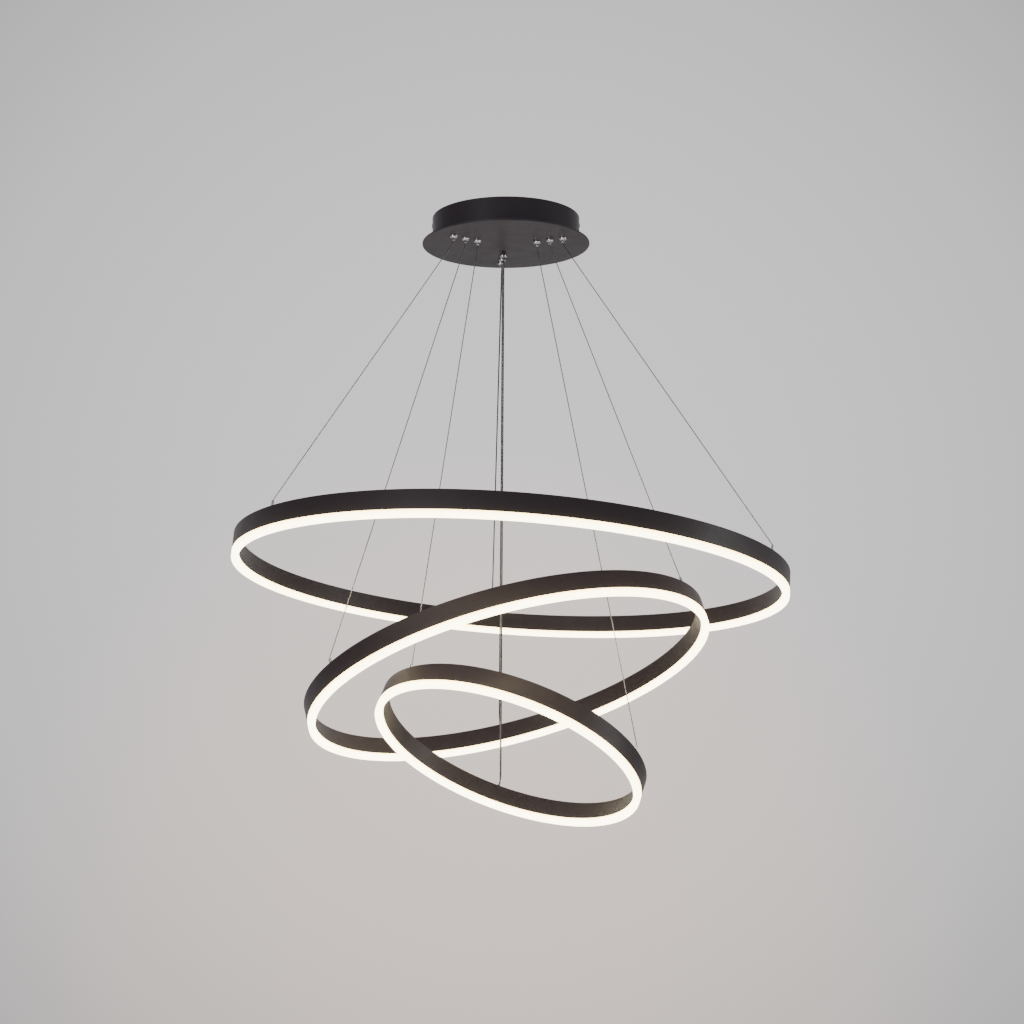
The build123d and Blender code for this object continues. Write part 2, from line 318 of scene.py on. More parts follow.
def bright_plate(name):
    """Polished nickel with the faint turning marks of a lathe."""
    plate = Finish(name, (0.82, 0.81, 0.80), 0.14, Metallic=1.0)
    height = plate.node("SeparateXYZ", {"Vector": plate.place()}).outputs["Z"]
    values = {"W": height, "Scale": 9000.0, "Detail": 1.0}
    lines = plate.node("TexNoise", values, noise_dimensions="1D")
    plate.drive("Roughness", plate.between(plate.grain(500.0), 0.10, 0.20))
    plate.bump(lines.outputs["Fac"], 0.000006, 0.4)
    return plate.material


def stranded(name):
    """Galvanised steel strands, unevenly worn."""
    color = (0.38, 0.38, 0.38)
    steel = Finish(name, color, 0.33, Metallic=1.0)
    steel.mottle(steel.grain(700.0), color, 0.75, 1.2)
    steel.drive("Roughness", steel.between(steel.grain(2500.0), 0.26, 0.42))
    steel.bump(steel.grain(6000.0), 0.00001, 0.4)
    return steel.material


def sheath(name, color, roughness):
    """Drawn sheath, almost smooth, with a slight drag along it."""
    drawn = Finish(name, color, roughness)
    cloud = drawn.grain(120.0)
    drawn.mottle(cloud, color, 0.8, 1.25)
    drawn.drive("Roughness", drawn.between(cloud, roughness - 0.06, roughness + 0.06))
    drawn.bump(drawn.grain(3000.0), 0.00001, 0.3)
    return drawn.material


def opal(name):
    """Lit opal acrylic: an even glow, a little weaker and warmer next to the metal."""
    glow = Finish(name, (0.90, 0.88, 0.82), 0.38, IOR=1.49)
    glow.set("Emission Strength", 11.0)
    uv = glow.node("TexCoord").outputs["UV"]
    across = glow.node("SeparateXYZ", {"Vector": uv}).outputs["Y"]
    cloud = glow.node("TexNoise", {"Vector": glow.place(), "Scale": 14.0}).outputs["Fac"]
    warm = glow.blend(cloud, (noise_low, (0.98, 0.845, 0.53)), (noise_high, (1.0, 0.87, 0.57)))
    # Shares of the bar's outline: its inner wall starts at 0.26, its outer wall ends at 1.
    full, weak = (1.0, 1.0, 1.0), (0.90, 0.74, 0.46)
    tint = glow.blend(across, (0.25, weak), (0.42, full), (0.84, full), (1.0, weak))
    mixed = glow.node("Mix", data_type="RGBA", blend_type="MULTIPLY")
    mixed.inputs["Factor"].default_value = 1.0
    glow.tree.links.new(warm, mixed.inputs[6])
    glow.tree.links.new(tint, mixed.inputs[7])
    glow.drive("Emission Color", mixed.outputs[2])
    glow.bump(glow.grain(900.0, 2.0), 0.00002, 0.15)
    return glow.material


def zinc_sheet(name):
    """Zinc plate with its soft cloudy crystals."""
    zinc = Finish(name, (0.60, 0.61, 0.63), 0.38, Metallic=1.0)
    cells = zinc.node("TexVoronoi", {"Vector": zinc.place(), "Scale": 260.0}).outputs["Color"]
    tone = zinc.node("SeparateColor", {"Color": cells}).outputs["Red"]
    crystals = zinc.blend(tone, (0.0, (0.50, 0.51, 0.53)), (1.0, (0.68, 0.69, 0.70)))
    zinc.drive("Base Color", crystals)
    zinc.drive("Roughness", zinc.between(tone, 0.30, 0.48, 0.0, 1.0))
    zinc.bump(zinc.grain(900.0), 0.00002, 0.4)
    return zinc.material


def mill_bar(name):
    """Extruded aluminium with fine lines from the die."""
    bar = Finish(name, (0.70, 0.70, 0.71), 0.36, Metallic=1.0)
    streaks = bar.grain(1800.0)
    bar.drive("Roughness", bar.between(streaks, 0.28, 0.46))
    bar.bump(streaks, 0.00002, 0.4)
    return bar.material


def moulded(name, color, roughness, scale, depth, **constants):
    """Moulded plastic with the fine spark texture of its tool."""
    plastic = Finish(name, color, roughness, **constants)
    plastic.mottle(plastic.grain(30.0), color, 0.94, 1.0)
    gloss = plastic.between(plastic.grain(200.0), roughness - 0.05, roughness + 0.05)
    plastic.drive("Roughness", gloss)
    plastic.bump(plastic.grain(scale, 2.0), depth, 0.4)
    return plastic.material


def foam(name):
    """Closed cell foam with small pores, each painted darker towards its middle as shade in the pit.
    """
    pad = Finish(name, (0.035, 0.035, 0.036), 0.85)
    pores = pad.node("TexVoronoi", {"Vector": pad.place(), "Scale": 1200.0}).outputs["Distance"]
    # Painted shade: each pore is darker towards its middle, where the bump below sinks it.
    tone = pad.blend(pores, (0.0, (0.015, 0.015, 0.016)), (0.5, (0.05, 0.05, 0.052)))
    pad.drive("Base Color", tone)
    pad.bump(pores, 0.0001, 0.6)
    return pad.material


def light_strip(name):
    """White solder mask, and yellow phosphor on the chips, whose faces have no UVs."""
    mask, phosphor = (0.80, 0.78, 0.72), (0.85, 0.62, 0.10)
    strip = Finish(name, mask, 0.45)
    uv = strip.node("TexCoord").outputs["UV"]
    corner = strip.node("VectorMath", {0: uv}, operation="LENGTH").outputs["Value"]
    strip.drive("Base Color", strip.blend(corner, (0.0, phosphor), (0.0005, mask)))
    strip.bump(strip.grain(1500.0), 0.00002, 0.3)
    return strip.material


materials = {
    "canopy_paint": powder_coat("canopy_paint", (0.0280, 0.0205, 0.0280), 0.42),
    "ring_paint": powder_coat("ring_paint", (0.0220, 0.0120, 0.0200), 0.46),
    "diffuser": opal("diffuser_opal"),
    "led_strip": light_strip("light_strip"),
    "bright_steel": bright_plate("bright_nickel"),
    "cable_steel": stranded("stranded_steel"),
    "zinc": zinc_sheet("zinc_sheet"),
    "aluminium": mill_bar("mill_bar"),
    "cord_black": sheath("cord_sheath", (0.022, 0.022, 0.024), 0.45),
    "bush_black": moulded("black_nylon", (0.024, 0.024, 0.026), 0.42, 1500.0, 0.00002),
    "driver_case": moulded("white_case", (0.72, 0.72, 0.70), 0.5, 1100.0, 0.00005),
    "foam_tape": foam("foam_tape"),
    "block_plastic": moulded(
        "natural_nylon", (0.68, 0.66, 0.58), 0.45, 800.0, 0.00003, Subsurface_Weight=0.15
    ),
}

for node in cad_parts.values():
    for place in node.material_slots:
        place.material = materials[place.material.name.split(".")[0]]


# Mesh helpers ---------------------------------------------------------------


def rounded(*corners, steps=4):
    """Closed outline through (x, y) or (x, y, radius) corners, with the radii rounded."""
    outline = []
    for index, (x, y, *radius) in enumerate(corners):
        corner = Vector((x, y))
        if not radius:
            outline.append(corner)
            continue
        before = (Vector(corners[index - 1][:2]) - corner).normalized()
        after = (Vector(corners[(index + 1) % len(corners)][:2]) - corner).normalized()
        half = before.angle(after) / 2
        middle = corner + (before + after).normalized() * radius[0] / sin(half)
        start = corner + before * radius[0] / tan(half) - middle
        end = corner + after * radius[0] / tan(half) - middle
        turn = pi - 2 * half
        for step in range(steps + 1):
            share = step / steps
            arc = start * sin((1 - share) * turn) + end * sin(share * turn)
            outline.append(middle + arc / sin(turn))
    return outline


def skin(bm, rows, wrap, along, across):
    """Faces between rows of vertices, with the distances along and across as UVs."""
    uv = bm.loops.layers.uv.verify()
    for i in range(len(rows) if wrap else len(rows) - 1):
        for j in range(len(across) - 1):
            corners = (i, j), (i + 1, j), (i + 1, j + 1), (i, j + 1)
            face = bm.faces.new([rows[a % len(rows)][b % len(rows[0])] for a, b in corners])
            face.smooth = True
            for loop, (a, b) in zip(face.loops, corners):
                loop[uv].uv = along[a], across[b]


def distances(points, closed):
    """Distance of each point along an outline, as a share of the whole."""
    ends = points + points[:1] if closed else points
    total = [0.0]
    for a, b in zip(ends, ends[1:]):
        total.append(total[-1] + (b - a).length)
    return [value / total[-1] for value in total]


def lathe(bm, outline, matrix, segments, start=0.0, arc=360.0, closed=True):
    """Turn an outline of (radius, height) points round a frame's Z axis, in millimetres."""
    placed = METRES @ matrix
    whole = arc >= 360
    turns = [start + arc * i / segments for i in range(segments if whole else segments + 1)]
    rows = [[bm.verts.new(placed @ spot(r, turn, z)) for r, z in outline] for turn in turns]
    along = [i / segments for i in range(segments + 1)]
    skin(bm, rows, whole, along, distances(outline, closed))
    if not whole:
        bm.faces.new(rows[0][::-1])
        bm.faces.new(rows[-1])


def box(bm, matrix, size, bevel=0.0):
    """A block that stands on a frame's origin, with its edges rounded by a bevel."""
    verts = bmesh.ops.create_cube(bm, size=1.0)["verts"]
    stretch = Matrix.Translation((0, 0, size[2] / 2)) @ Matrix.Diagonal((*size, 1))
    bmesh.ops.transform(bm, matrix=METRES @ matrix @ stretch, verts=verts)
    if bevel:
        edges = list({edge for vert in verts for edge in vert.link_edges})
        width = bevel * 0.001
        bmesh.ops.bevel(bm, geom=edges, offset=width, segments=3, profile=0.5, affect="EDGES")


def circle(radius, sides, x=0.0, y=0.0, turn=0.0):
    """Closed outline of evenly spaced points round a circle."""
    angles = [radians(turn) + tau * i / sides for i in range(sides)]
    return [Vector((x + radius * cos(angle), y + radius * sin(angle))) for angle in angles]


def block(length, width, radius):
    """Closed outline of a rectangle with rounded corners, centred on a frame's origin."""
    x, y = length / 2, width / 2
    return rounded((x, -y, radius), (x, y, radius), (-x, y, radius), (-x, -y, radius))


def moved(outline, x):
    return [point + Vector((x, 0)) for point in outline]


def polygon(*points):
    return [Vector(point) for point in points]


def fill(bm, outlines, matrix):
    """A flat sheet in a frame's XY plane, inside the first outline and outside the others."""
    placed = METRES @ matrix
    edges = []
    for outline in outlines:
        verts = [bm.verts.new(placed @ point.to_3d()) for point in outline]
        edges += [bm.edges.new(pair) for pair in zip(verts, verts[1:] + verts[:1])]
    made = bmesh.ops.triangle_fill(bm, edges=edges, use_beauty=True, normal=matrix.col[2].to_3d())
    return [item for item in made["geom"] if isinstance(item, bmesh.types.BMFace)]


def prism(bm, outlines, matrix, height):
    """A solid of even section that stands on a frame's XY plane."""
    made = bmesh.ops.extrude_face_region(bm, geom=fill(bm, outlines, matrix))
    verts = [item for item in made["geom"] if isinstance(item, bmesh.types.BMVert)]
    bmesh.ops.translate(bm, vec=matrix.col[2].to_3d() * height * 0.001, verts=verts)


def thread(radius, top, pitch, turns, depth):
    """Outline points down a thread's crests and roots."""
    points = []
    for step in range(turns):
        points += [(radius - depth, top - pitch * step), (radius, top - pitch * (step + 0.5))]
    return points


screw_pitch = 0.7


def screw(bm, matrix, head, height, shank, length):
    """A pan head screw with a cross recess, its head on a frame's XY plane and its thread below."""
    flat, floor = head * 0.6, height * 0.3
    arm, half = head * 0.48, head * 0.11
    recess = []
    for c, s in ((1, 0), (0, 1), (-1, 0), (0, -1)):
        for x, y in ((arm, -half), (arm, half), (half, half)):
            recess.append(Vector((x * c - y * s, x * s + y * c)))
    fill(bm, [circle(flat, 24), recess], matrix @ Matrix.Translation((0, 0, height)))
    fill(bm, [recess], matrix @ Matrix.Translation((0, 0, floor)))
    placed = METRES @ matrix
    rows = []
    for z in (height, floor):
        rows.append([bm.verts.new(placed @ Vector((*point, z))) for point in recess])
    skin(bm, rows, False, (0, 1), distances(recess, True))
    turns = int((length - 1) / screw_pitch)
    outline = polygon(
        (flat, height),
        (head * 0.86, height * 0.8),
        (head, height * 0.3),
        (head, 0),
        (shank, 0),
        *thread(shank, -0.3, screw_pitch, turns, 0.35),
        (shank * 0.6, -length),
        (0, -length),
    )
    lathe(bm, outline, matrix, 24, closed=False)


def follow(points):
    """Points in metres along the smooth line that a route's points steer."""
    curve = bpy.data.curves.new("route", "CURVE")
    curve.dimensions = "3D"
    curve.resolution_u = 24
    spline = curve.splines.new("NURBS")
    spline.points.add(len(points) - 1)
    for point, place in zip(spline.points, points):
        point.co = (*(place * 0.001), 1)
    spline.order_u = 3
    spline.use_endpoint_u = True
    holder = bpy.data.objects.new("route", curve)
    bpy.context.scene.collection.objects.link(holder)
    bpy.context.view_layer.update()
    mesh = bpy.data.meshes.new_from_object(holder)
    line = [vert.co.copy() for vert in mesh.vertices]
    bpy.data.objects.remove(holder)
    bpy.data.meshes.remove(mesh)
    return line


def evenly(line, step):
    """The same line with points at an even distance."""
    lengths = [0.0]
    for a, b in zip(line, line[1:]):
        lengths.append(lengths[-1] + (b - a).length)
    count = ceil(lengths[-1] / step)
    spaced, index = [], 0
    for i in range(count + 1):
        want = lengths[-1] * i / count
        while index < len(line) - 2 and lengths[index + 1] < want:
            index += 1
        share = (want - lengths[index]) / (lengths[index + 1] - lengths[index])
        spaced.append(line[index].lerp(line[index + 1], share))
    return spaced


def sweep(bm, line, section, pitch=None):
    """Sweep a section of (angle, radius) points along a line, all in metres.

    With a pitch, the section turns once over each pitch of the line.
    """
    rows = []
    normal = Vector((1, 0, 0))
    gone = 0.0
    for index, point in enumerate(line):
        ahead = line[min(index + 1, len(line) - 1)] - line[max(index - 1, 0)]
        ahead.normalize()
        normal = (normal - ahead * normal.dot(ahead)).normalized()
        binormal = ahead.cross(normal)
        if index:
            gone += (point - line[index - 1]).length
        twist = tau * gone / pitch if pitch else 0.0
        row = []
        for angle, radius in section:
            out = normal * cos(angle + twist) + binormal * sin(angle + twist)
            row.append(bm.verts.new(point + out * radius))
        rows.append(row)
    count = len(section)
    skin(bm, rows, False, distances(line, False), [i / count for i in range(count + 1)])
    bm.faces.new(rows[0][::-1])
    bm.faces.new(rows[-1])


def piece(name, bm, material, body, *nodes, sharp=32.0, sheet=0.0, bevel=0.0):
    """Make an object of a mesh, give it its finish and set it on its body in place of CAD nodes.

    A sheet is given its thickness, and a bevel rounds each edge, both in millimetres.
    """
    bmesh.ops.remove_doubles(bm, verts=bm.verts, dist=1e-6)
    bmesh.ops.recalc_face_normals(bm, faces=bm.faces)
    mesh = bpy.data.meshes.new(name)
    bm.to_mesh(mesh)
    bm.free()
    mesh.materials.append(materials[material])
    made = bpy.data.objects.new(name, mesh)
    bpy.context.scene.collection.objects.link(made)
    if sheet:
        solid = made.modifiers.new("sheet", "SOLIDIFY")
        solid.thickness = sheet * 0.001
        solid.offset = 0.0
        solid.use_even_offset = True
    if bevel:
        for face in mesh.polygons:
            face.use_smooth = True
        edge = made.modifiers.new("edge", "BEVEL")
        edge.width = bevel * 0.001
        edge.segments = 2
        edge.limit_method = "ANGLE"
        edge.angle_limit = radians(sharp)
    else:
        mesh.set_sharp_from_angle(angle=radians(sharp))
    weights = made.modifiers.new("weights", "WEIGHTED_NORMAL")
    weights.keep_sharp = True
    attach(made, body)
    if nodes:
        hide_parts(*nodes)
    return made


# Cables and cords -----------------------------------------------------------


def free_run(name, points, section, step, material, pitch=None):
    """A taut cable or cord from the canopy to a ring, which shortens as the ring is raised."""
    line = follow(points)
    bm = bmesh.new()
    sweep(bm, evenly(line, step * 0.001), section, pitch)
    run = piece(name, bm, material, "canopy", name.replace("_run", ""), sharp=70.0)
    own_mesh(run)


cable_section = []
for i in range(2 * strands):
    share = groove if i % 2 else crest
    cable_section.append((tau * i / (2 * strands), cable_diameter / 2000 * share))
cord_section = [(tau * i / cord_sides, cord_diameter / 2000) for i in range(cord_sides)]

for ring in rings:
    for row, azimuth in ring.stud_azimuths.items():
        tip = ring.seat(azimuth, stud_offset, stud_height).translation
        corner = gripper_spot(ring, row, cable_corner)
        run = (tip - corner).normalized()
        points = [
            gripper_spot(ring, row, stem_top + cable_tail),
            gripper_spot(ring, row, collar_bottom),
            corner,
            corner + run * cable_lead,
            tip + run * cable_end_lead,
        ]
        free_run(
            f"{ring.name}_cable_{row}_run",
            points,
            cable_section,
            strand_step,
            "cable_steel",
            strand_pitch * 0.001,
        )

    over = ring.seat(ring.back_stud, grommet_offset, grommet_height + cord_run_in).translation
    corner = bush_spot(ring, bush_mouth - cord_run_in)
    run = (over - corner).normalized()
    points = [
        bush_spot(ring, bush_top),
        corner,
        corner + run * cord_lead,
        over - run * cord_lead,
        over,
        ring.seat(ring.back_stud, grommet_offset, -channel_web - cord_end_depth).translation,
    ]
    name = f"{ring.name}_cord_run"
    free_run(name, points, cord_section, cord_step, "cord_black")


# Light rings ----------------------------------------------------------------

for ring in rings:
    body = f"{ring.name}_ring"
    outer, inner = ring.radius, ring.radius - ring_width
    bottom = -channel_height
    seam = ring.back_stud + seam_turn
    gap = seam_gap / ring.radius * 180 / pi

    bm = bmesh.new()
    outline = rounded(
        (outer, bottom, 0.2),
        (outer, 0, 0.5),
        (inner, 0, 0.5),
        (inner, bottom, 0.2),
        (inner + channel_wall, bottom),
        (inner + channel_wall, -channel_web, 0.3),
        (outer - channel_wall, -channel_web, 0.3),
        (outer - channel_wall, bottom),
    )
    lathe(bm, outline, ring.matrix, ring_segments, seam + gap / 2, 360 - gap)
    piece(f"{ring.name}_channel", bm, "ring_paint", body, f"{ring.name}_profile")

    bm = bmesh.new()
    outline = rounded(
        (outer, bottom, 0.2),
        (inner, bottom, 0.2),
        (inner, bottom - diffuser_height, 1.2),
        (outer, bottom - diffuser_height, 1.2),
    )
    lathe(bm, outline, ring.matrix, ring_segments, seam + gap / 2)
    middle = ring.radius - ring_width / 2
    tabs = round(tau * middle / tab_pitch)
    half_width = ring_width / 2 - channel_wall - tab_clearance
    turn = tab_length / middle * 180 / pi
    outline = polygon(
        (middle - half_width, bottom),
        (middle + half_width, bottom),
        (middle + half_width, bottom + tab_height),
        (middle - half_width, bottom + tab_height),
    )
    for tab in range(tabs):
        lathe(bm, outline, ring.matrix, 4, seam + 360 * (tab + 0.5) / tabs - turn / 2, turn)
    piece(f"{ring.name}_light", bm, "diffuser", body, f"{ring.name}_diffuser")

    bm = bmesh.new()
    outline = rounded(
        (0, -channel_web),
        (stud_root, -channel_web),
        (stud_root, 0),
        (stud_flange, 0),
        (stud_flange, 0.9, 0.2),
        (stud_waist, 1.1),
        (stud_waist, 4.8, 0.3),
        (stud_neck, 7.6),
        (stud_tip, stud_height, 0.1),
        (stud_mouth, stud_height),
        (stud_mouth, stud_height - stud_mouth_depth),
        (0, stud_height - stud_mouth_depth),
    )
    for azimuth in ring.stud_azimuths.values():
        lathe(bm, outline, ring.seat(azimuth, stud_offset), 24, closed=False)
    piece(f"{ring.name}_posts", bm, "bright_steel", body, f"{ring.name}_studs")

    bm = bmesh.new()
    outline = rounded(
        (grommet_bore, -channel_web),
        (grommet_radius, -channel_web),
        (grommet_radius, 0.6, 0.2),
        (grommet_tip, grommet_height, 0.08),
        (grommet_bore, grommet_height),
    )
    lathe(bm, outline, ring.seat(ring.back_stud, grommet_offset), 20)
    piece(f"{ring.name}_grommet_turned", bm, "bush_black", body, f"{ring.name}_grommet")

    wall = outer - channel_wall - strip_play
    bm = bmesh.new()
    outline = polygon(
        (wall, strip_top),
        (wall, strip_bottom),
        (wall - strip_film, strip_bottom),
        (wall - strip_film, strip_top),
    )
    lathe(bm, outline, ring.matrix, ring_segments)
    chips = round(tau * wall / chip_pitch)
    for chip in range(chips):
        turn = Matrix.Rotation(tau * chip / chips, 4, "Z")
        place = Matrix.Translation((wall - strip_film - chip_depth / 2, 0, chip_foot))
        box(bm, ring.matrix @ turn @ place, (chip_depth, chip_width, chip_height))
    piece(f"{ring.name}_light_strip", bm, "led_strip", body, f"{ring.name}_led_strip")

    bm = bmesh.new()
    holes = [circle(splice_hole, 16, y=end * y) for y in splice_hole_places for end in (-1, 1)]
    under = ring.seat(seam, 0, -channel_web - splice_play - splice_thickness)
    prism(bm, [block(splice_width, splice_length, 0.4), *holes], under, splice_thickness)
    piece(f"{ring.name}_splice_bar", bm, "aluminium", body, f"{ring.name}_splice", bevel=0.2)


# Canopy ---------------------------------------------------------------------

canopy = Matrix.Identity(4)

bm = bmesh.new()
outline = rounded(
    (drum_radius, 0, 0.2),
    (drum_radius, plate_top, 0.3),
    (drum_radius - drum_wall, plate_top, 0.2),
    (drum_radius - drum_wall, 0, 0.2),
)
lathe(bm, outline, canopy, 192)
for azimuth in row_azimuths.values():
    place = spot(drum_radius - drum_wall - lug_depth / 2, azimuth, plate_top)
    lug = (lug_depth + drum_wall, lug_width, drum_wall)
    box(bm, frame_at(place, spot(1, azimuth, 0), UP), lug, 0.25)
piece("drum_spun", bm, "canopy_paint", "canopy", "canopy_drum")

bm = bmesh.new()
outline = rounded(
    (0, plate_top),
    (plate_radius, plate_top, 0.6),
    (plate_radius, plate_bottom, 0.6),
    (0, plate_bottom),
)
lathe(bm, outline, canopy, 192, closed=False)
piece("plate_disc", bm, "canopy_paint", "canopy", "canopy_plate")

outline = rounded(
    (cable_bore, stem_top),
    (stem_end_radius, stem_top),
    *thread(stem_radius, stem_top - stem_pitch, stem_pitch, stem_turns, stem_thread),
    (stem_radius, plate_bottom),
    (collar_radius, plate_bottom, 0.2),
    (collar_radius, collar_bottom, collar_rounding),
    (sleeve_bore, collar_bottom),
    (sleeve_bore, sleeve_bore_top),
    (cable_bore, sleeve_bore_top),
)
bm = bmesh.new()
for ring in rings:
    for row in row_azimuths:
        lathe(bm, outline, Matrix.Translation(gripper_spot(ring, row, 0)), 32)
piece("gripper_turned", bm, "bright_steel", "canopy", "gripper_bodies")

outline = rounded(
    (cable_bore, plunger_top),
    (cable_bore, plunger_mouth, 0.15),
    (plunger_radius, plunger_mouth, 0.6),
    (plunger_radius, plunger_top, 0.2),
)
for ring in rings:
    for row in row_azimuths:
        bm = bmesh.new()
        lathe(bm, outline, Matrix.Translation(gripper_spot(ring, row, 0)), 28)
        node = f"{ring.name}_plunger_{row}"
        piece(f"{node}_turned", bm, "bright_steel", f"{ring.name}_release_{row}", node)

outline = rounded(
    (bush_bore, bush_top),
    (bush_bore, bush_mouth),
    (1.7, bush_mouth, 0.3),
    (2.4, plate_bottom - 1.2),
    (bush_radius, plate_bottom - 1.0, 0.2),
    (bush_radius, bush_top, 0.4),
)
bm = bmesh.new()
for ring in rings:
    lathe(bm, outline, Matrix.Translation(bush_spot(ring, 0)), 28)
piece("bushes_moulded", bm, "bush_black", "canopy", "cord_bushes")

bm = bmesh.new()
for ring in rings:
    for row, azimuth in row_azimuths.items():
        hexagon = circle(nut_across / 2 / cos(pi / 6), 6, turn=azimuth + 30)
        place = Matrix.Translation(gripper_spot(ring, row, plate_top))
        prism(bm, [hexagon, circle(stem_radius, 24)], place, nut_height)
piece("gripper_nuts", bm, "zinc", "canopy", bevel=0.3)


# Ceiling bracket and its screws ---------------------------------------------

bracket_width = 25.0
bracket_thickness = 1.5
bracket_end_height = 20.0
bracket_reach = ((drum_radius - drum_wall) ** 2 - (bracket_width / 2) ** 2) ** 0.5 - 0.1
bracket_slot_place = 42.0
bracket_slot_length = 34.0
bracket_slot_width = 4.5
bracket_hole = 6.0
bracket_bend = 2.2  # radius of the middle of the sheet
bend_steps = 6
side_screw_height = -10.0
screw_radius = 2.0
screw_head = 3.5
earth_nut_top = -bracket_thickness - 1.0
earth_screw_place = bracket_reach - 32.0

middle = -bracket_thickness / 2
flat = bracket_reach - bracket_thickness / 2 - bracket_bend
half_width = bracket_width / 2
slot = block(bracket_slot_length, bracket_slot_width, bracket_slot_width / 2 - 0.01)
bm = bmesh.new()
outlines = [
    polygon((flat, -half_width), (flat, half_width), (-flat, half_width), (-flat, -half_width)),
    moved(slot, -bracket_slot_place),
    moved(slot, bracket_slot_place),
    circle(bracket_hole, 36),
    circle(screw_radius, 20, x=earth_screw_place),
]
fill(bm, outlines, Matrix.Translation((0, 0, middle)))
leg_top = middle - bracket_bend
for side in (-1, 1):
    rows = []
    for step in range(bend_steps + 1):
        turn = pi / 2 * step / bend_steps
        x = side * (flat + bracket_bend * sin(turn))
        z = leg_top + bracket_bend * cos(turn)
        rows.append([bm.verts.new(Vector((x, y, z)) * 0.001) for y in (-half_width, half_width)])
    skin(bm, rows, False, distances([Vector(row[0].co) for row in rows], False), (0, 1))
    foot = Vector((side * (bracket_reach + middle), 0, 0))
    leg = frame_at(foot, Vector((0, side, 0)), Vector((side, 0, 0)))
    outline = polygon(
        (-half_width, -bracket_end_height),
        (half_width, -bracket_end_height),
        (half_width, leg_top),
        (-half_width, leg_top),
    )
    fill(bm, [outline, circle(screw_radius, 20, y=side_screw_height)], leg)
piece("bracket_bent", bm, "zinc", "canopy", "ceiling_bracket", sheet=bracket_thickness, bevel=0.2)

bm = bmesh.new()
for side in (-1, 1):
    place = Vector((side * drum_radius, 0, side_screw_height))
    outwards = frame_at(place, Vector((0, side, 0)), Vector((side, 0, 0)))
    screw(bm, outwards, screw_head, 0.8, screw_radius, 9.0)
piece("side_screws_turned", bm, "canopy_paint", "canopy", "side_screws")

bm = bmesh.new()
place = Matrix.Translation((earth_screw_place, 0, 0))
outline = polygon(
    (0, 0),
    (screw_radius, 0),
    (screw_radius, earth_nut_top),
    *thread(screw_radius, earth_nut_top - 0.2, screw_pitch, 4, 0.3),
    (screw_radius * 0.7, -6.0),
    (0, -6.0),
)
lathe(bm, outline, place, 24, closed=False)
under = place @ Matrix.Translation((0, 0, earth_nut_top))
prism(bm, [circle(screw_head, 6), circle(screw_radius + 0.05, 24)], under, 1.0)
piece("earth_stud", bm, "zinc", "canopy", "earth_screw")


# Drivers and terminal block -------------------------------------------------

driver_length = 105.0
driver_width = 30.0
driver_ear = 6.0
driver_radius = 72.0
pad_thickness = 1.0
driver_foot = plate_top + pad_thickness
driver_rows = {"large": "back", "medium": "left", "small": "right"}
case_length = driver_length - 2 * driver_ear
ear_thickness = 2.0
ear_hole = 1.9
case_height = 12.4
step_height = 0.6
lid_foot = ear_thickness + case_height + step_height
lid_gap = 0.4
lid_height = 7.0
panel_height = 6.5
cover_length = 14.0
cover_height = 6.3
cover_places = [end * (case_length - cover_length) / 2 for end in (-1, 1)]

for ring in rings:
    azimuth = row_azimuths[driver_rows[ring.name]] + 60
    along = spot(1, azimuth + 90, 0)

    def stand(height, shift=0.0):
        return frame_at(spot(driver_radius, azimuth, driver_foot + height) + along * shift, along, UP)

    bm = bmesh.new()
    holes = [circle(ear_hole, 20, x=end * (case_length + driver_ear) / 2) for end in (-1, 1)]
    prism(bm, [block(driver_length, driver_width, 4.0), *holes], stand(0), ear_thickness)
    prism(bm, [block(case_length, driver_width, 2.5)], stand(ear_thickness), case_height)
    step = block(case_length - 1.0, driver_width - 1.0, 2.0)
    prism(bm, [step], stand(ear_thickness + case_height), step_height)
    lid = case_length - 2 * (cover_length + lid_gap)
    recess = block(lid - 12.0, driver_width - 10.0, 1.5)
    panel = block(lid - 12.2, driver_width - 10.2, 1.4)
    prism(bm, [block(lid, driver_width, 0.6), recess], stand(lid_foot), lid_height)
    prism(bm, [panel], stand(lid_foot), panel_height)
    for shift in cover_places:
        prism(bm, [block(cover_length, driver_width, 1.2)], stand(lid_foot, shift), cover_height)
    piece(f"driver_{ring.name}_case", bm, "driver_case", "canopy", f"driver_{ring.name}", bevel=0.35)

    bm = bmesh.new()
    for shift in cover_places:
        screw(bm, stand(lid_foot + cover_height, shift), 2.4, 0.7, 1.1, 6.0)
    piece(f"driver_{ring.name}_screws", bm, "zinc", "canopy")

block_pole = 10.0
block_depth = 18.0
rail_top = 3.5
shoulder, shoulder_top = 4.4, 5.5
tower, tower_foot, tower_top = 3.9, 6.5, 11.0
wire_hole, wire_height = 1.8, 7.0
well_bore, well_radius, well_top, well_place = 2.2, 3.1, 14.0, 4.6
poles = (block_pole, 0.0, -block_pole)
corners = [(-1.5 * block_pole, 0.0), (1.5 * block_pole, 0.0), (1.5 * block_pole, rail_top)]
for pole in poles:
    corners += [
        (pole + shoulder, rail_top),
        (pole + shoulder, shoulder_top),
        (pole + tower, tower_foot),
        (pole + tower, tower_top, 0.6),
        (pole - tower, tower_top, 0.6),
        (pole - tower, tower_foot),
        (pole - shoulder, shoulder_top),
        (pole - shoulder, rail_top),
    ]
corners.append((-1.5 * block_pole, rail_top))
bm = bmesh.new()
front = Vector((0, -block_depth / 2, plate_top))
side_on = frame_at(front, Vector((-1, 0, 0)), Vector((0, 1, 0)))
holes = [circle(wire_hole, 20, x=pole, y=wire_height) for pole in poles]
prism(bm, [rounded(*corners), *holes], side_on, block_depth)
wells = [Vector((pole, y, plate_top)) for pole in poles for y in (-well_place, well_place)]
outline = rounded(
    (well_bore, tower_top),
    (well_radius, tower_top),
    (well_radius, well_top, 0.3),
    (well_bore, well_top, 0.3),
)
for well in wells:
    lathe(bm, outline, Matrix.Translation(well), 24)
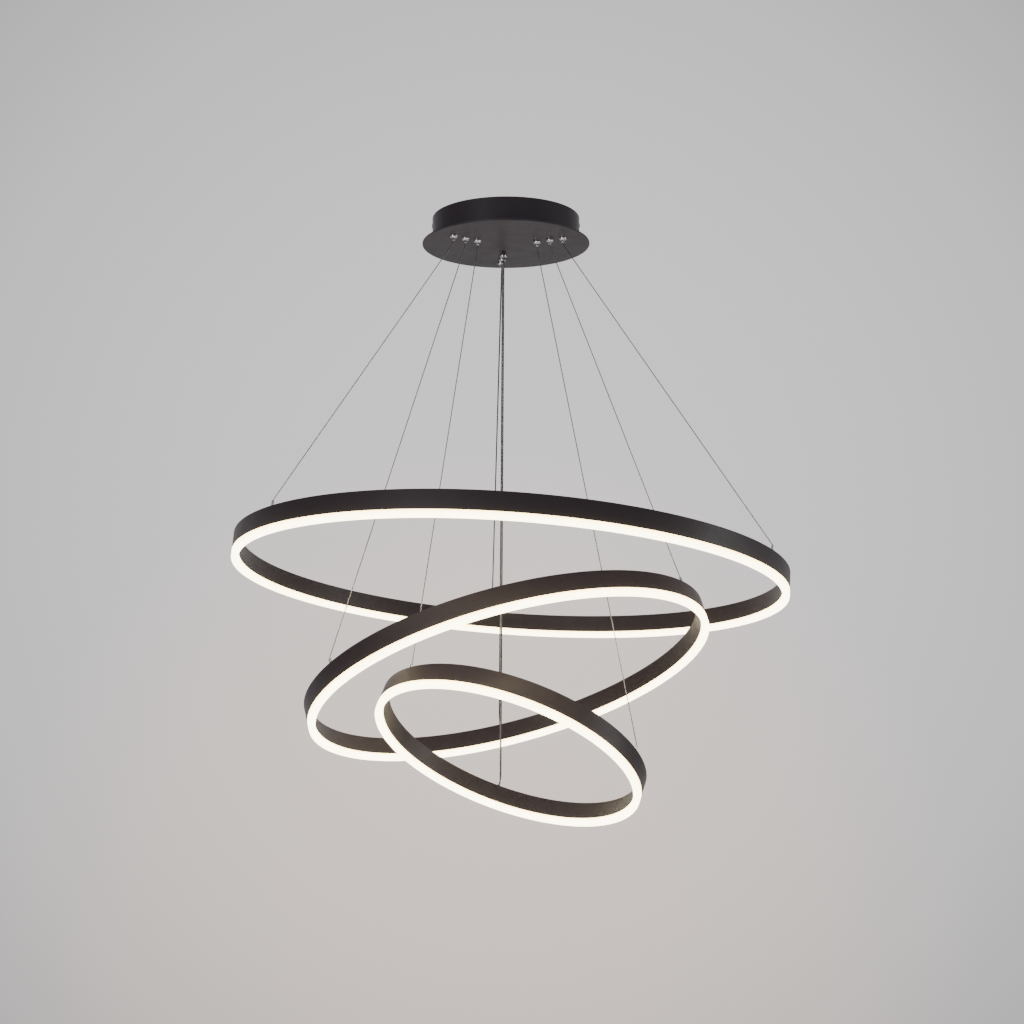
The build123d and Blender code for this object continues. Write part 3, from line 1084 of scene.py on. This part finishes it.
piece("terminal_block_moulded", bm, "block_plastic", "canopy", "terminal_block")
bm = bmesh.new()
for well in wells:
    screw(bm, Matrix.Translation(well + UP * (tower_top + 0.2)), 2.0, 1.2, 1.2, 2.5)
piece("terminal_screws", bm, "zinc", "canopy")


# Room and light -------------------------------------------------------------

floor_height = -2.7
floor_radius = 9.0
floor_finish = Finish("pale_floor", (0.62, 0.61, 0.60), 0.7)
floor_finish.drive("Roughness", floor_finish.between(floor_finish.grain(3.0), 0.62, 0.78))
# A painted glow that only the camera sees: it shows the floor paler than the lamp sees it, and paler
# still towards its rim, where it meets the wall.
out = floor_finish.node("VectorMath", {0: floor_finish.place()}, operation="LENGTH").outputs["Value"]
out = floor_finish.between(out, 0.0, 1.0, 0.0, floor_radius)
tone = floor_finish.blend(out, (0.15, (0.24, 0.235, 0.235)), (0.9, (0.46, 0.455, 0.46)))
floor_finish.drive("Emission Color", tone)
floor_finish.drive("Emission Strength", floor_finish.node("LightPath").outputs["Is Camera Ray"])
bm = bmesh.new()
place = Matrix.Translation((0, 0, floor_height))
bmesh.ops.create_circle(bm, cap_ends=True, segments=96, radius=floor_radius, matrix=place)
mesh = bpy.data.meshes.new("floor")
bm.to_mesh(mesh)
bm.free()
mesh.materials.append(floor_finish.material)
floor = bpy.data.objects.new("floor", mesh)
bpy.context.scene.collection.objects.link(floor)

# Tones by the angle from the middle of the picture, as stops of its cosine: the pale wall that the
# camera sees all round, and the studio that lights the lamp. The wall's tones are painted light and
# shade: brightest in the middle, darkest about 17 degrees out, and paler again beyond.
wall_tones = [
    (0.0, (0.74, 0.73, 0.735)),
    (0.90, (0.64, 0.63, 0.635)),
    (0.955, (0.545, 0.53, 0.535)),
    (0.979, (0.82, 0.80, 0.81)),
    (1.0, (1.0, 0.965, 0.98)),
]
studio_tones = [
    (0.0, (0.35, 0.335, 0.36)),
    (0.5, (0.20, 0.19, 0.20)),
    (0.75, (0.24, 0.23, 0.24)),
    (0.93, (0.60, 0.58, 0.59)),
    (1.0, (0.90, 0.87, 0.88)),
]
# The lamp's own warm light on the wall below it.
glow_aim = Vector((-0.02, cos(radians(6)), -sin(radians(6))))
glow_reach = cos(radians(16))
glow_tones = [(0.0, (1.0, 1.0, 1.0)), (1.0, (1.22, 1.08, 0.97))]
world = bpy.data.worlds.new("studio")
world.use_nodes = True
bpy.context.scene.world = world
sky = world.node_tree


def sky_node(kind, *sources):
    """A world node, fed by pairs of a socket and its source."""
    node = sky.nodes.new("ShaderNode" + kind)
    for socket, source in sources:
        sky.links.new(source, node.inputs[socket])
    return node


def tone_ramp(value, tones):
    ramp = sky_node("ValToRGB", ("Fac", value))
    set_stops(ramp, tones)
    return ramp.outputs["Color"]


def closeness(aim, start):
    """How near a ray is to an aim: 0 where its cosine is at the start, and 1 on the aim."""
    dot = sky_node("VectorMath", (0, sky_node("TexCoord").outputs["Generated"]))
    dot.operation = "DOT_PRODUCT"
    dot.inputs[1].default_value = aim
    near = sky_node("MapRange", ("Value", dot.outputs["Value"]))
    near.inputs["From Min"].default_value = start
    return near.outputs["Result"]


def blend_colors(mode, factor, first, second):
    mix = sky_node("Mix")
    mix.data_type = "RGBA"
    mix.blend_type = mode
    for socket, source in ((0, factor), (6, first), (7, second)):
        sky.links.new(source, mix.inputs[socket])
    return mix.outputs[2]


camera_ray = sky_node("LightPath").outputs["Is Camera Ray"]
turned = closeness(ahead, -1.0)
glow = tone_ramp(closeness(glow_aim, glow_reach), glow_tones)
wall = blend_colors("MULTIPLY", camera_ray, tone_ramp(turned, wall_tones), glow)
seen = blend_colors("MIX", camera_ray, tone_ramp(turned, studio_tones), wall)
sky.links.new(seen, sky.nodes["Background"].inputs["Color"])


lamp_middle = (0, 0, -0.45)


def softbox(name, place, size, power, aim=lamp_middle):
    """A soft rectangular light that looks at the lamp and isn't seen itself."""
    light = bpy.data.lights.new(name, "AREA")
    light.shape = "RECTANGLE"
    light.size, light.size_y = size
    light.energy = power
    made = bpy.data.objects.new(name, light)
    made.location = place
    made.rotation_euler = (Vector(aim) - Vector(place)).to_track_quat("-Z", "Y").to_euler()
    made.visible_camera = False
    bpy.context.scene.collection.objects.link(made)


softbox("left_softbox", (-2.0, -2.9, -0.6), (0.7, 1.5), 26.0)
softbox("right_softbox", (3.4, -0.4, -0.6), (0.7, 1.5), 20.0)
softbox("top_softbox", (0.0, 0.4, 2.4), (2.4, 2.0), 45.0)
softbox("floor_softbox", (0.0, 0.0, -1.5), (3.0, 3.0), 42.0, aim=(0, 0, floor_height))

# The camera's own bloom round the lit bars.
scene = bpy.context.scene
scene.use_nodes = True
lens = scene.node_tree
lens.nodes.clear()
bloom = lens.nodes.new("CompositorNodeGlare")
bloom.glare_type = "BLOOM"
bloom.quality = "HIGH"
for socket, value in {"Threshold": 2.0, "Strength": 0.02, "Size": 0.2}.items():
    bloom.inputs[socket].default_value = value
layers = lens.nodes.new("CompositorNodeRLayers")
picture = lens.nodes.new("CompositorNodeComposite")
lens.links.new(layers.outputs["Image"], bloom.inputs["Image"])
lens.links.new(bloom.outputs["Image"], picture.inputs["Image"])
